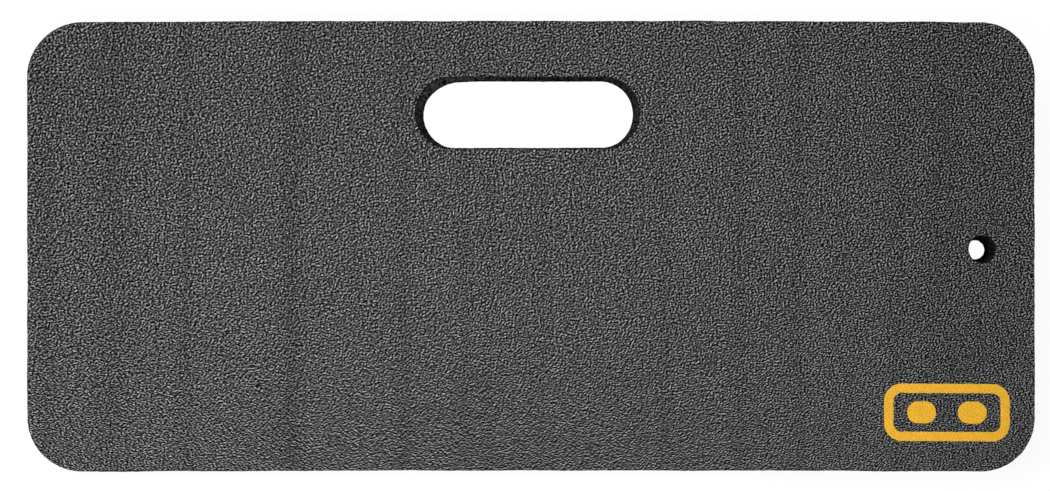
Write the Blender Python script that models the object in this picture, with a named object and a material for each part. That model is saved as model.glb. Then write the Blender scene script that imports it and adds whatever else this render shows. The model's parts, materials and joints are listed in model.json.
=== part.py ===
"""Kneeling pad: a die-cut slab of closed-cell foam with a hand slot, a hang hole and a small printed mark.

Metres, +Z up. The origin lies on the floor under the middle of the pad. +X runs along the pad towards its
hang hole, and +Y across the pad towards its hand slot.
"""

import math

import bmesh
import bpy

# The foam slab
PAD_LENGTH = 0.4572
PAD_WIDTH = 0.2040
PAD_THICKNESS = 0.0254
CORNER_RADIUS = 0.0250
SKIN_THICKNESS = 0.0010
FIT_GAP = 0.0003

# The hand slot, measured at the kneeling face. The die leaves it a little smaller at the underside.
SLOT_LENGTH = 0.1020
SLOT_WIDTH = 0.0327
SLOT_CENTRE_X = -0.0016
SLOT_TO_LONG_EDGE = 0.0254
SLOT_END_TAPER = 0.0023
SLOT_SIDE_TAPER = 0.0009

# The hang hole, punched by the same stroke
HOLE_TOP_DIAMETER = 0.0126
HOLE_BOTTOM_DIAMETER = 0.0090
HOLE_TO_SHORT_EDGE = 0.0240
HOLE_CENTRE_Y = -0.0010

# The printed mark: a rounded frame round two knee spots
MARK_LENGTH = 0.0570
MARK_WIDTH = 0.0260
MARK_RADIUS = 0.0080
MARK_STROKE = 0.0042
MARK_CENTRE_X = 0.1887
MARK_CENTRE_Y = -0.0752
KNEE_LENGTH = 0.0130
KNEE_WIDTH = 0.0100
KNEE_RADIUS = 0.0048
KNEE_SPACING = 0.0230
INK_THICKNESS = 0.0003

# How finely round shapes are cut into straight facets
ARC_STEPS = 16
SLOT_FACETS = 72
HOLE_FACETS = 40

CUTTER_MARGIN = 0.0030
WELD_DISTANCE = 0.000002
SHARP_ANGLE = math.radians(30)
QUARTER_ARC_HANDLE = 4 / 3 * math.tan(math.pi / 8)

# Worked out from the sizes above
SLOT_CENTRE_Y = PAD_WIDTH / 2 - SLOT_TO_LONG_EDGE - SLOT_WIDTH / 2
HOLE_CENTRE_X = PAD_LENGTH / 2 - HOLE_TO_SHORT_EDGE
CORE_BOTTOM = SKIN_THICKNESS + FIT_GAP
CORE_TOP = PAD_THICKNESS - SKIN_THICKNESS - FIT_GAP
INK_BOTTOM = PAD_THICKNESS - INK_THICKNESS
RECESS_BOTTOM = INK_BOTTOM - FIT_GAP


def clear_scene():
    """Removes every object and the collections left empty by that."""
    for old in list(bpy.data.objects):
        bpy.data.objects.remove(old)
    for old in list(bpy.data.collections):
        bpy.data.collections.remove(old)


def new_collection(name):
    """Makes a collection in the scene."""
    collection = bpy.data.collections.new(name)
    bpy.context.scene.collection.children.link(collection)
    return collection


def new_material(name, color, roughness):
    """Makes a plain Principled material with no metallic part."""
    material = bpy.data.materials.new(name)
    material.use_nodes = True
    material.diffuse_color = (*color, 1.0)
    shader = material.node_tree.nodes["Principled BSDF"]
    shader.inputs["Base Color"].default_value = (*color, 1.0)
    shader.inputs["Roughness"].default_value = roughness
    shader.inputs["Metallic"].default_value = 0.0
    return material


def add_rounded_rectangle(curve, length, width, radius):
    """Adds one closed outline to a 2D curve: four straight sides joined by quarter circles."""
    spline = curve.splines.new("BEZIER")
    spline.use_cyclic_u = True
    spline.bezier_points.add(7)
    handle = radius * QUARTER_ARC_HANDLE
    corners = ((1, 1), (-1, 1), (-1, -1), (1, -1))
    for turn, (side_x, side_y) in enumerate(corners):
        centre_x = side_x * (length / 2 - radius)
        centre_y = side_y * (width / 2 - radius)
        for step in (0, 1):
            angle = (turn + step) * math.pi / 2
            x = centre_x + radius * math.cos(angle)
            y = centre_y + radius * math.sin(angle)
            point = spline.bezier_points[2 * turn + step]
            point.co = (x, y, 0)
            along_x = -math.sin(angle) * handle
            along_y = math.cos(angle) * handle
            point.handle_left_type = "FREE" if step else "VECTOR"
            point.handle_right_type = "VECTOR" if step else "FREE"
            point.handle_left = (x - along_x, y - along_y, 0)
            point.handle_right = (x + along_x, y + along_y, 0)


def weld_and_face_out(mesh):
    """Joins the loose caps of an extruded outline to its sides and turns every face outwards."""
    work = bmesh.new()
    work.from_mesh(mesh)
    bmesh.ops.remove_doubles(work, verts=work.verts, dist=WELD_DISTANCE)
    bmesh.ops.recalc_face_normals(work, faces=work.faces)
    work.to_mesh(mesh)
    work.free()


def plate(name, outlines, centre, bottom, top, collection):
    """Makes a closed flat solid between two heights. A second outline inside the first leaves a hole."""
    curve = bpy.data.curves.new(name, "CURVE")
    curve.dimensions = "2D"
    curve.fill_mode = "BOTH"
    curve.extrude = (top - bottom) / 2
    curve.resolution_u = ARC_STEPS
    for length, width, radius in outlines:
        add_rounded_rectangle(curve, length, width, radius)
    outline = bpy.data.objects.new(name + "_outline", curve)
    outline.location = (*centre, (bottom + top) / 2)
    collection.objects.link(outline)
    bpy.context.view_layer.update()
    graph = bpy.context.evaluated_depsgraph_get()
    mesh = bpy.data.meshes.new_from_object(outline.evaluated_get(graph))
    mesh.name = name
    weld_and_face_out(mesh)
    solid = bpy.data.objects.new(name, mesh)
    solid.matrix_world = outline.matrix_world
    collection.objects.link(solid)
    bpy.data.objects.remove(outline)
    bpy.data.curves.remove(curve)
    return solid


def tapered_cutter(name, centre, bottom_radius, top_radius, bottom_spread, top_spread, facets, cutters):
    """Makes a cutter through the whole pad: a cone whose two halves stand apart by the spreads.

    With both spreads at zero it is a plain cone. The sizes hold at the pad's two faces, and the cutter runs
    on past them at the same taper.
    """
    share_past = CUTTER_MARGIN / PAD_THICKNESS
    depth = PAD_THICKNESS + 2 * CUTTER_MARGIN
    radius_past = (top_radius - bottom_radius) * share_past
    spread_past = (top_spread - bottom_spread) * share_past
    work = bmesh.new()
    bmesh.ops.create_cone(
        work,
        cap_ends=True,
        cap_tris=False,
        segments=facets,
        radius1=bottom_radius - radius_past,
        radius2=top_radius + radius_past,
        depth=depth,
    )
    half_facet = math.pi / facets
    for vert in work.verts:
        x, y, z = vert.co
        turned_x = x * math.cos(half_facet) - y * math.sin(half_facet)
        turned_y = x * math.sin(half_facet) + y * math.cos(half_facet)
        spread = top_spread + spread_past if z > 0 else bottom_spread - spread_past
        vert.co = (turned_x + math.copysign(spread, turned_x), turned_y, z)
    bmesh.ops.recalc_face_normals(work, faces=work.faces)
    mesh = bpy.data.meshes.new(name)
    work.to_mesh(mesh)
    work.free()
    cutter = bpy.data.objects.new(name, mesh)
    cutter.location = (*centre, PAD_THICKNESS / 2)
    cutters.objects.link(cutter)
    return as_cutter(cutter)


def as_cutter(solid):
    """Marks a solid as a tool that is never rendered."""
    solid.hide_render = True
    solid.display_type = "WIRE"
    return solid


def cut(solid, tools):
    """Cuts each tool out of a solid for good, so that the cut edges can be shaded sharp."""
    for tool in tools:
        modifier = solid.modifiers.new(tool.name, "BOOLEAN")
        modifier.operation = "DIFFERENCE"
        modifier.solver = "EXACT"
        modifier.object = tool
    bpy.context.view_layer.update()
    graph = bpy.context.evaluated_depsgraph_get()
    uncut = solid.data
    cut_mesh = bpy.data.meshes.new_from_object(solid.evaluated_get(graph))
    solid.modifiers.clear()
    solid.data = cut_mesh
    bpy.data.meshes.remove(uncut)
    cut_mesh.name = solid.name


def finish_part(solid, material, root):
    """Gives a sub-part its material and shading, and hangs it on the pad's empty."""
    solid.data.materials.clear()
    solid.data.materials.append(material)
    solid.data.shade_smooth()
    solid.data.set_sharp_from_angle(angle=SHARP_ANGLE)
    solid.parent = root


def make_through_cutters(cutters):
    """Makes the cutters for the hand slot and the hang hole."""
    top_radius = SLOT_WIDTH / 2
    bottom_radius = top_radius - SLOT_SIDE_TAPER
    slot = tapered_cutter(
        "slot_cutter",
        (SLOT_CENTRE_X, SLOT_CENTRE_Y),
        bottom_radius,
        top_radius,
        SLOT_LENGTH / 2 - SLOT_END_TAPER - bottom_radius,
        SLOT_LENGTH / 2 - top_radius,
        SLOT_FACETS,
        cutters,
    )
    hole = tapered_cutter(
        "hole_cutter",
        (HOLE_CENTRE_X, HOLE_CENTRE_Y),
        HOLE_BOTTOM_DIAMETER / 2,
        HOLE_TOP_DIAMETER / 2,
        0,
        0,
        HOLE_FACETS,
        cutters,
    )
    return [slot, hole]


def mark_outlines(grow):
    """Lists the printed shapes as (name, centre, outlines), each shape grown by a distance on every side."""
    frame = (MARK_LENGTH + 2 * grow, MARK_WIDTH + 2 * grow, MARK_RADIUS + grow)
    inset = 2 * (MARK_STROKE + grow)
    opening = (MARK_LENGTH - inset, MARK_WIDTH - inset, MARK_RADIUS - MARK_STROKE - grow)
    knee = (KNEE_LENGTH + 2 * grow, KNEE_WIDTH + 2 * grow, KNEE_RADIUS + grow)
    left_knee = (MARK_CENTRE_X - KNEE_SPACING / 2, MARK_CENTRE_Y)
    right_knee = (MARK_CENTRE_X + KNEE_SPACING / 2, MARK_CENTRE_Y)
    return [
        ("print_frame", (MARK_CENTRE_X, MARK_CENTRE_Y), [frame, opening]),
        ("print_knee_left", left_knee, [knee]),
        ("print_knee_right", right_knee, [knee]),
    ]


def make_recess_cutters(cutters):
    """Makes the shallow cutters that seat the ink in the top skin, with the fit gap all round."""
    recess_top = PAD_THICKNESS + CUTTER_MARGIN
    return [
        as_cutter(plate(name + "_recess", outlines, centre, RECESS_BOTTOM, recess_top, cutters))
        for name, centre, outlines in mark_outlines(FIT_GAP)
    ]


def make_foam(parts, root, through_cutters, recess_cutters):
    """Makes the cellular core and the two dense skins, each with the slot and the hole through it."""
    slab = [(PAD_LENGTH, PAD_WIDTH, CORNER_RADIUS)]
    layers = (
        ("bottom_skin", 0.0, SKIN_THICKNESS, (0.050, 0.051, 0.051), 0.70),
        ("foam_core", CORE_BOTTOM, CORE_TOP, (0.012, 0.012, 0.013), 0.95),
        ("top_skin", PAD_THICKNESS - SKIN_THICKNESS, PAD_THICKNESS, (0.066, 0.068, 0.067), 0.62),
    )
    for name, bottom, top, color, roughness in layers:
        layer = plate(name, slab, (0, 0), bottom, top, parts)
        recesses = recess_cutters if name == "top_skin" else []
        cut(layer, through_cutters + recesses)
        finish_part(layer, new_material(name + "_foam", color, roughness), root)


def make_print(parts, root):
    """Makes the three islands of yellow ink, flush with the kneeling face."""
    for name, centre, outlines in mark_outlines(0.0):
        ink = plate(name, outlines, centre, INK_BOTTOM, PAD_THICKNESS, parts)
        finish_part(ink, new_material(name + "_ink", (0.82, 0.43, 0.025), 0.55), root)


def main():
    """Builds the whole pad."""
    clear_scene()
    parts = new_collection("kneeling_pad")
    cutters = new_collection("cutters")
    root = bpy.data.objects.new("pad_origin", None)
    parts.objects.link(root)
    through_cutters = make_through_cutters(cutters)
    recess_cutters = make_recess_cutters(cutters)
    make_foam(parts, root, through_cutters, recess_cutters)
    make_print(parts, root)


main()
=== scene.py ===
"""The looks of a die-cut foam kneeling pad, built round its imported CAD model.

The pad is one blank cut from a sheet of closed-cell foam. Its two faces are dense skins with a fine
pebble grain, its cut walls show the black cellular inside, and a small yellow pictogram is printed in
one corner. Each CAD node is replaced by a detailed closed mesh of the same size and place.

Everything is in metres, in the CAD model's frame: +X along the pad towards the hang hole, +Y across it
towards the hand slot, +Z up through the kneeling face.
"""

import json
import logging
import math
from collections.abc import Sequence
from dataclasses import astuple, dataclass, replace
from enum import Enum
from typing import ClassVar

import bpy
import numpy as np
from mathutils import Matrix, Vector
from mathutils.geometry import delaunay_2d_cdt


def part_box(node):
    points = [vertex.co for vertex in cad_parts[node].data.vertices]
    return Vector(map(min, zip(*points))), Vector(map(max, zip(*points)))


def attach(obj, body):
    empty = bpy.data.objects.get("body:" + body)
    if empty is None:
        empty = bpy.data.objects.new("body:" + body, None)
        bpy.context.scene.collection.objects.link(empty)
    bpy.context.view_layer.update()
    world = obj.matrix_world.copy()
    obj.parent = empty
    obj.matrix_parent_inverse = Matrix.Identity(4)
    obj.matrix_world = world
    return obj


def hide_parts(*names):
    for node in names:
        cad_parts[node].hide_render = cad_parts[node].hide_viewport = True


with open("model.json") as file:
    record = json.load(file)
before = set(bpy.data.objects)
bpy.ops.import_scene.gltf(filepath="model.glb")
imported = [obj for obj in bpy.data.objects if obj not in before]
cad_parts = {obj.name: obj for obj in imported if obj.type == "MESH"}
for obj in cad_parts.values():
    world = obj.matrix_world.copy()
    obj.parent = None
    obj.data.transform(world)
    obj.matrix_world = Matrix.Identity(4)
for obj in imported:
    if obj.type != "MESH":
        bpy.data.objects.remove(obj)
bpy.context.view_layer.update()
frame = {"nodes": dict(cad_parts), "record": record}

MILLIMETRE = 0.001
SAME = 0.01 * MILLIMETRE  # points closer than this lie at the same place
LOG = logging.getLogger("kneeling_pad")

SHARP = math.radians(42)  # edges that turn more than this look sharp
LIP_FADE = 8  # the powers that shape the drawn-over lip and the dished wall
DISH_FADE = 2.4
PIT, PEBBLE = 0.1, 0.9  # the grain heights between which the roughness changes

Colour = tuple[float, float, float]
Place = tuple[float, float, float]
Socket = bpy.types.NodeSocket


class Face(Enum):
    """The pad's two skins, by the way that each looks."""

    KNEELING = 1
    UNDER = -1


class Knee(Enum):
    """The two knee spots of the printed mark, by the CAD node that holds each."""

    LEFT = "print_knee_left"
    RIGHT = "print_knee_right"


# --- Plane geometry ---


@dataclass(frozen=True)
class RoundedOutline:
    """A rectangle with quarter-circle corners: a slot or a circle if the radius is half its width."""

    centre_x: float
    centre_y: float
    length: float
    width: float
    radius: float

    @classmethod
    def round_points(cls, points: np.ndarray, radius: float | None = None) -> "RoundedOutline":
        """Fits an outline round the corner points of a CAD loop.

        Args:
            points: The loop's points, one row each, of which X and Y count.
            radius: The corner radius, or None to read it from where the straight sides end.

        Returns:
            The outline.
        """
        low = points[:, :2].min(axis=0)
        high = points[:, :2].max(axis=0)
        centre = (low + high) / 2
        length, width = high - low
        if radius is None:
            radius = length / 2 - np.abs(points[:, 0] - centre[0]).min()
        return cls(*map(float, (*centre, length, width, radius)))

    def grown(self, by: float) -> "RoundedOutline":
        """Moves the outline outwards all round, or inwards if the distance is below zero."""
        return RoundedOutline(
            self.centre_x, self.centre_y, self.length + 2 * by, self.width + 2 * by, self.radius + by
        )

    def towards(self, other: "RoundedOutline", share: float) -> "RoundedOutline":
        """Blends the outline into another one, which it reaches at a share of 1."""
        mine, its = np.array(astuple(self)), np.array(astuple(other))
        return RoundedOutline(*map(float, mine + (its - mine) * share))

    def distance(self, x: np.ndarray, y: np.ndarray) -> np.ndarray:
        """Measures how far points lie outside the outline.

        Args:
            x: Places along the pad.
            y: Places across it.

        Returns:
            The distances, below zero inside the outline.
        """
        past_x = np.abs(x - self.centre_x) - (self.length / 2 - self.radius)
        past_y = np.abs(y - self.centre_y) - (self.width / 2 - self.radius)
        outside = np.hypot(np.maximum(past_x, 0), np.maximum(past_y, 0))
        return outside + np.minimum(np.maximum(past_x, past_y), 0) - self.radius

    def counts(self, spacing: float) -> tuple[int, int, int]:
        """Splits the outline into near-even steps.

        Args:
            spacing: The wanted distance between points.

        Returns:
            The number of steps along a long side, along a short side and round a corner.
        """
        step = min(spacing, self.radius / 10)
        long_side = max(0.0, self.length - 2 * self.radius)
        short_side = max(0.0, self.width - 2 * self.radius)
        return (
            round(long_side / spacing),
            round(short_side / spacing),
            max(4, round(self.radius * math.pi / 2 / step)),
        )

    def loop(self, counts: tuple[int, int, int]) -> tuple[np.ndarray, np.ndarray]:
        """Walks round the outline anticlockwise.

        Outlines that are walked with the same counts match point for point.

        Args:
            counts: What counts() returned, for this outline or a like one.

        Returns:
            The points and their outward directions, one row each.
        """
        along_long, along_short, round_corner = counts
        half_long = self.length / 2 - self.radius
        half_short = self.width / 2 - self.radius
        points, outward = [], []
        for turn, (side_x, side_y) in enumerate(((1, 1), (-1, 1), (-1, -1), (1, -1))):
            corner = np.array([side_x * half_long, side_y * half_short])
            angles = (turn + np.arange(round_corner) / round_corner) * math.pi / 2
            arc_out = np.stack([np.cos(angles), np.sin(angles)], axis=1)
            points.append(corner + arc_out * self.radius)
            outward.append(arc_out)
            steps = along_long if turn % 2 == 0 else along_short
            side_out = np.array([math.cos((turn + 1) * math.pi / 2), math.sin((turn + 1) * math.pi / 2)])
            run = 2 * (half_long if turn % 2 == 0 else half_short)
            along = np.array([-side_out[1], side_out[0]])
            first = corner + side_out * self.radius
            shares = np.arange(steps)[:, None] / max(steps, 1)
            points.append(first + along * run * shares)
            outward.append(np.repeat(side_out[None], steps, axis=0))
        centre = np.array([self.centre_x, self.centre_y])
        return np.concatenate(points) + centre, np.concatenate(outward)


@dataclass(frozen=True)
class Sheet:
    """A flat triangulation of a region.

    Attributes:
        points: X and Y of each point.
        out: The direction out of the material near an edge, and zero away from the edges.
        triangles: Point numbers, anticlockwise.
        loops: For each edge of the region, the numbers of its points in order.
    """

    points: np.ndarray
    out: np.ndarray
    triangles: np.ndarray
    loops: list[np.ndarray]


@dataclass(frozen=True)
class Region:
    """The material inside an outline and outside its openings."""

    outline: RoundedOutline
    openings: tuple[RoundedOutline, ...] = ()

    def depth(self, x: np.ndarray, y: np.ndarray) -> np.ndarray:
        """Measures how far points lie inside the material, from its nearest edge.

        Args:
            x: Places along the pad.
            y: Places across it.

        Returns:
            The depths, below zero outside the material.
        """
        depth = -self.outline.distance(x, y)
        for opening in self.openings:
            depth = np.minimum(depth, opening.distance(x, y))
        return depth

    def edges(self) -> list[tuple[RoundedOutline, float]]:
        """Lists each edge with the sign that growing it takes to go into the material."""
        return [(self.outline, -1.0), *((opening, 1.0) for opening in self.openings)]

    def staggered_grid(self, pitch: float, clear: float) -> np.ndarray:
        """Fills the material with points in staggered rows.

        Args:
            pitch: The distance between neighbours.
            clear: How far the points stay from every edge.

        Returns:
            X and Y of each point.
        """
        row_pitch = pitch * math.sqrt(3) / 2
        half_rows = int(self.outline.width / 2 / row_pitch) + 1
        half_columns = int(self.outline.length / 2 / pitch) + 1
        row, column = np.mgrid[-half_rows : half_rows + 1, -half_columns : half_columns + 1]
        x = self.outline.centre_x + (column + 0.5 * (row % 2)).ravel() * pitch
        y = self.outline.centre_y + row.ravel() * row_pitch
        inside = self.depth(x, y) > clear
        return np.stack([x[inside], y[inside]], axis=1)

    def counts(self, spacing: float) -> list[tuple[int, int, int]]:
        """Splits every edge into near-even steps, in the order of edges()."""
        return [edge.counts(spacing) for edge, _ in self.edges()]

    def triangulated(
        self,
        counts: Sequence[tuple[int, int, int]],
        insets: Sequence[float],
        pitch: float,
        details: Sequence[np.ndarray] = (),
    ) -> Sheet:
        """Cuts the material into triangles, with rings of points beside its edges.

        Args:
            counts: How many steps each edge is walked in.
            insets: How far in from the edge each ring lies, from 0 up.
            pitch: The distance between points away from the edges.
            details: Extra clusters of points, each of which clears the grid around itself.

        Returns:
            The triangulation.
        """
        points, out, loops, borders = [], [], [], []
        count = 0
        for (edge, inward), steps in zip(self.edges(), counts, strict=True):
            for inset in insets:
                ring, outward = edge.grown(inward * inset).loop(steps)
                if inset == 0:
                    loops.append(np.arange(count, count + len(ring)))
                    borders.append(np.stack([loops[-1], np.roll(loops[-1], -1)], axis=1))
                points.append(ring)
                out.append(-inward * outward)
                count += len(ring)
        grid = self.staggered_grid(pitch, insets[-1] + 0.6 * pitch)
        for cluster in details:
            middle = cluster.mean(axis=0)
            reach = np.hypot(*(cluster - middle).T).max() + 0.6 * pitch
            grid = grid[np.hypot(*(grid - middle).T) > reach]
            points.append(cluster)
            out.append(np.zeros_like(cluster))
        points.append(grid)
        out.append(np.zeros_like(grid))
        flat = np.concatenate(points)
        found = delaunay_2d_cdt(
            [Vector(p) for p in flat.tolist()], np.concatenate(borders).tolist(), [], 0, 1e-9
        )
        sources = np.array([source[0] for source in found[3]])
        triangles = sources[np.array(found[2])]
        middles = flat[triangles].mean(axis=1)
        kept = triangles[self.depth(middles[:, 0], middles[:, 1]) > 0]
        return Sheet(flat, np.concatenate(out), kept, loops)


@dataclass(frozen=True)
class WaveField:
    """Smooth random relief of one scale: many plane waves of nearly one length, with fixed random turns.

    Attributes:
        period: The waves' mean length.
        height: The relief's standard deviation.
        seed: Fixes the draw.
        stretch: How much longer the relief is along X, Y and Z.
    """

    WAVES: ClassVar[int] = 56
    SHORTEST: ClassVar[float] = 0.75
    LONGEST: ClassVar[float] = 1.35

    period: float
    height: float
    seed: int
    stretch: Place = (1, 1, 1)

    def at(self, points: np.ndarray, other: int = 0) -> np.ndarray:
        """Reads the relief.

        Args:
            points: Places with two or three columns, one row each.
            other: What the seed changes by, for a second field of the same kind.

        Returns:
            How far each place stands out, with a mean of 0.
        """
        draw = np.random.default_rng(self.seed + other)
        turns = draw.normal(size=(self.WAVES, 3))
        turns /= np.linalg.norm(turns, axis=1)[:, None]
        lengths = self.period * draw.uniform(self.SHORTEST, self.LONGEST, self.WAVES)
        waves = turns / lengths[:, None] * 2 * math.pi / np.array(self.stretch)
        phases = draw.uniform(0, 2 * math.pi, self.WAVES)
        total = np.zeros(len(points))
        for wave, phase in zip(waves[:, : points.shape[1]], phases, strict=True):
            total += np.cos(points @ wave + phase)
        return total * math.sqrt(2 / self.WAVES) * self.height


# --- The pad's sizes and form ---


@dataclass(frozen=True)
class PadSizes:
    """The pad's sizes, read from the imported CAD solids.

    Attributes:
        outline: The pad's outline, without its openings.
        slot: The hand slot's outline at the underside and at the kneeling face.
        hole: The hang hole's, likewise.
        bottom: The height of the underside.
        core_bottom: The height at which the core begins.
        core_top: The height at which it ends.
        top: The height of the kneeling face.
    """

    SEARCH: ClassVar[float] = 11 * MILLIMETRE  # how far from an opening's box its rim may lie

    outline: RoundedOutline
    slot: tuple[RoundedOutline, RoundedOutline]
    hole: tuple[RoundedOutline, RoundedOutline]
    bottom: float
    core_bottom: float
    core_top: float
    top: float

    @staticmethod
    def node_points(node: str) -> np.ndarray:
        """Returns the corner points of a CAD node, one row each."""
        return np.array([vertex.co for vertex in frame["nodes"][node].data.vertices])

    @classmethod
    def opening(cls, box_name: str) -> tuple[RoundedOutline, RoundedOutline]:
        """Reads one opening's outline at the pad's underside and at its kneeling face.

        Args:
            box_name: How the names of the opening's boxes in the record begin.

        Returns:
            The lower and the upper outline.
        """
        openings = frame["record"]["physics"]["openings"]
        boxes = [opening["box_m"] for opening in openings if opening["name"].startswith(box_name)]
        low = np.min([box[0] for box in boxes], axis=0)
        high = np.max([box[1] for box in boxes], axis=0)
        found = []
        for node, pick in (("bottom_skin", np.min), ("top_skin", np.max)):
            points = cls.node_points(node)
            near = np.all((points > low - cls.SEARCH) & (points < high + cls.SEARCH), axis=1)
            level = pick(points[near][:, 2])
            loop = points[near & (np.abs(points[:, 2] - level) < SAME)]
            width = np.ptp(loop[:, 1])
            found.append(RoundedOutline.round_points(loop, width / 2))
        return found[0], found[1]

    @classmethod
    def measured(cls) -> "PadSizes":
        """Reads every size from the frame.

        Returns:
            The sizes.
        """
        core_low, core_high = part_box("foam_core")
        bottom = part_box("bottom_skin")[0].z
        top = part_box("top_skin")[1].z
        core = cls.node_points("foam_core")
        ends = core[np.abs(core[:, 0]) > core_high.x - SAME]
        outline = RoundedOutline.round_points(core, core_high.y - np.abs(ends[:, 1]).max())
        slot, hole = cls.opening("hand_slot"), cls.opening("hang_hole")
        return cls(outline, slot, hole, bottom, core_low.z, core_high.z, top)

    def share_up(self, z: float) -> float:
        """Returns how far up the pad a height is, from 0 at the underside to 1 at the kneeling face."""
        return (z - self.bottom) / (self.top - self.bottom)

    def region_at(self, z: float) -> Region:
        """Cuts the pad at one height, with the cut walls' taper.

        Args:
            z: The height.

        Returns:
            The material there.
        """
        share = self.share_up(z)
        openings = tuple(lower.towards(upper, share) for lower, upper in (self.slot, self.hole))
        return Region(self.outline, openings)


@dataclass(frozen=True)
class PadBand:
    """A shallow band across the pad, darkened with painted shade; most are marks that the sheet's rollers
    left.

    Attributes:
        place: Where its middle is along the pad, in millimetres.
        half_width: Half its width, in millimetres.
        strength: How deep it is and how much painted shade darkens it, up to 1.
    """

    place: float
    half_width: float
    strength: float


@dataclass(frozen=True)
class PadForm:
    """The soft, uneven form that cutting, rolling and storage give the pad. Every piece follows it.

    Attributes:
        sizes: The pad's sizes.
        bow: How far the pad's ends hang back from its middle, in its plane.
        bow_middle: How much of that the middle stands out by.
        corner_lift: How far two opposite corners curl up off the floor.
        rim_radius: The radius at which the skin rolls over into a cut wall.
        rim_sink: How far the die pressed the skin down beside a cut.
        rim_reach: How far in from the cut that fades.
        wall_dish: How far the outer wall curves in at half its height.
        bore_bulge: How far the slot's and the hole's walls spring in at half their height.
        bore_lip: How far the kneeling skin is drawn over into them.
        nick: Where the one small nick in the kneeling face is.
        nick_size: Half its length and half its width.
        nick_depth: How deep it is.
        nick_lip: How far the foam is pushed up round it.
        slot_slant: How far the die slanted in through the slot's left end, at the underside.
        hole_slant: How far it slanted towards -Y in the hang hole, at the underside.
        spring: How far the foam sprang back into the slot at the one corner where the die dragged.
        spring_reach: How far along the wall that place runs.
        spring_turn: Where on the slot's round end it is, from +X towards +Y.
        band_depth: How deep a full band is.
        swell: The skins' slow swell.
        peel: Their orange peel.
        wander: The cut edges' long waves.
        drag: The drag lines down the cut walls.
        torn: The torn cells on them.
        pad_bands: The bands across the kneeling face.
    """

    sizes: PadSizes
    bow: float = 0.65 * MILLIMETRE
    bow_middle: float = 0.45
    corner_lift: float = 0.7 * MILLIMETRE
    rim_radius: float = 0.6 * MILLIMETRE
    rim_sink: float = 0.12 * MILLIMETRE
    rim_reach: float = 3.0 * MILLIMETRE
    wall_dish: float = 0.75 * MILLIMETRE
    bore_bulge: float = 0.4 * MILLIMETRE
    bore_lip: float = 0.35 * MILLIMETRE
    nick: tuple[float, float] = (-0.1238, -0.0629)
    nick_size: tuple[float, float] = (0.95 * MILLIMETRE, 0.62 * MILLIMETRE)
    nick_depth: float = 0.60 * MILLIMETRE
    nick_lip: float = 0.08 * MILLIMETRE
    slot_slant: float = 0.8 * MILLIMETRE
    hole_slant: float = 0.4 * MILLIMETRE
    spring: float = 0.8 * MILLIMETRE
    spring_reach: float = 9.0 * MILLIMETRE
    spring_turn: float = math.radians(118)
    band_depth: float = 0.05 * MILLIMETRE
    swell: WaveField = WaveField(34 * MILLIMETRE, 0.030 * MILLIMETRE, 20)
    peel: WaveField = WaveField(5.2 * MILLIMETRE, 0.022 * MILLIMETRE, 25)
    wander: WaveField = WaveField(30 * MILLIMETRE, 0.07 * MILLIMETRE, 41, (1, 1, 2))
    drag: WaveField = WaveField(3.4 * MILLIMETRE, 0.03 * MILLIMETRE, 42, (1, 1, 5))
    torn: WaveField = WaveField(1.7 * MILLIMETRE, 0.03 * MILLIMETRE, 43, (1, 1, 1.2))
    pad_bands: tuple[PadBand, ...] = (
        PadBand(-220, 3.5, 0.6),
        PadBand(-190, 8.0, 0.6),
        PadBand(-156, 3.0, 0.6),
        PadBand(-109, 4.5, 1.0),
        PadBand(-58, 3.5, 0.8),
        PadBand(-30, 3.0, 0.6),
        PadBand(-19, 2.5, 0.5),
        PadBand(5, 3.0, 0.4),
        PadBand(60, 2.5, 0.5),
        PadBand(95, 3.5, 0.7),
        PadBand(121, 3.0, 0.7),
        PadBand(142, 3.0, 0.4),
        PadBand(166, 4.0, 0.5),
        PadBand(187, 5.0, 0.6),
        # The widest band is no roller mark: it is painted shade, with a faint dip, for the light falling
        # off towards the hang-hole end.
        PadBand(208, 40.0, 0.85),
    )

    def region_at(self, z: float) -> Region:
        """Cuts the pad at one height, with the cut walls' taper and slant.

        Args:
            z: The height.

        Returns:
            The material there.
        """
        down = 1 - self.sizes.share_up(z)
        region = self.sizes.region_at(z)
        slot, hole = region.openings
        shorter = self.slot_slant * down
        slot = replace(slot, centre_x=slot.centre_x + shorter / 2, length=slot.length - shorter)
        hole = replace(hole, centre_y=hole.centre_y - self.hole_slant * down)
        lip = self.bore_lip * (1 - min(down, 1.0)) ** LIP_FADE
        return Region(region.outline, (slot.grown(-lip), hole.grown(-lip)))

    def bent(self, points: np.ndarray) -> np.ndarray:
        """Gives points the whole pad's bow and curled corners.

        Args:
            points: Places on the straight pad, one row each.

        Returns:
            The same places on the bent pad.
        """
        x, y, z = points.T
        along = x / (self.sizes.outline.length / 2)
        across = y / (self.sizes.outline.width / 2)
        curl = np.clip(-along * across, 0, 1) ** 3
        bowed = y + self.bow * (self.bow_middle - along**2)
        return np.stack([x, bowed, z + self.corner_lift * curl], axis=1)

    def drop(self, depth: np.ndarray) -> np.ndarray:
        """Rolls a skin down at its edges.

        Args:
            depth: How far in from the nearest edge each place lies.

        Returns:
            How far the surface lies below its flat level.
        """
        rolled = np.clip(self.rim_radius - depth, 0, self.rim_radius)
        roll = self.rim_radius - np.sqrt(self.rim_radius**2 - rolled**2)
        return roll + self.rim_sink * np.exp(-np.maximum(depth, 0) / self.rim_reach)

    def bands(self, x: np.ndarray) -> np.ndarray:
        """Adds up the bands.

        Args:
            x: Places along the pad.

        Returns:
            How deep in a mark each place lies, from 0 to 1.
        """
        total = np.zeros_like(x)
        for mark in self.pad_bands:
            total += mark.strength * np.exp(-(((x / MILLIMETRE - mark.place) / mark.half_width) ** 2))
        return np.clip(total, 0, 1)

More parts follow.
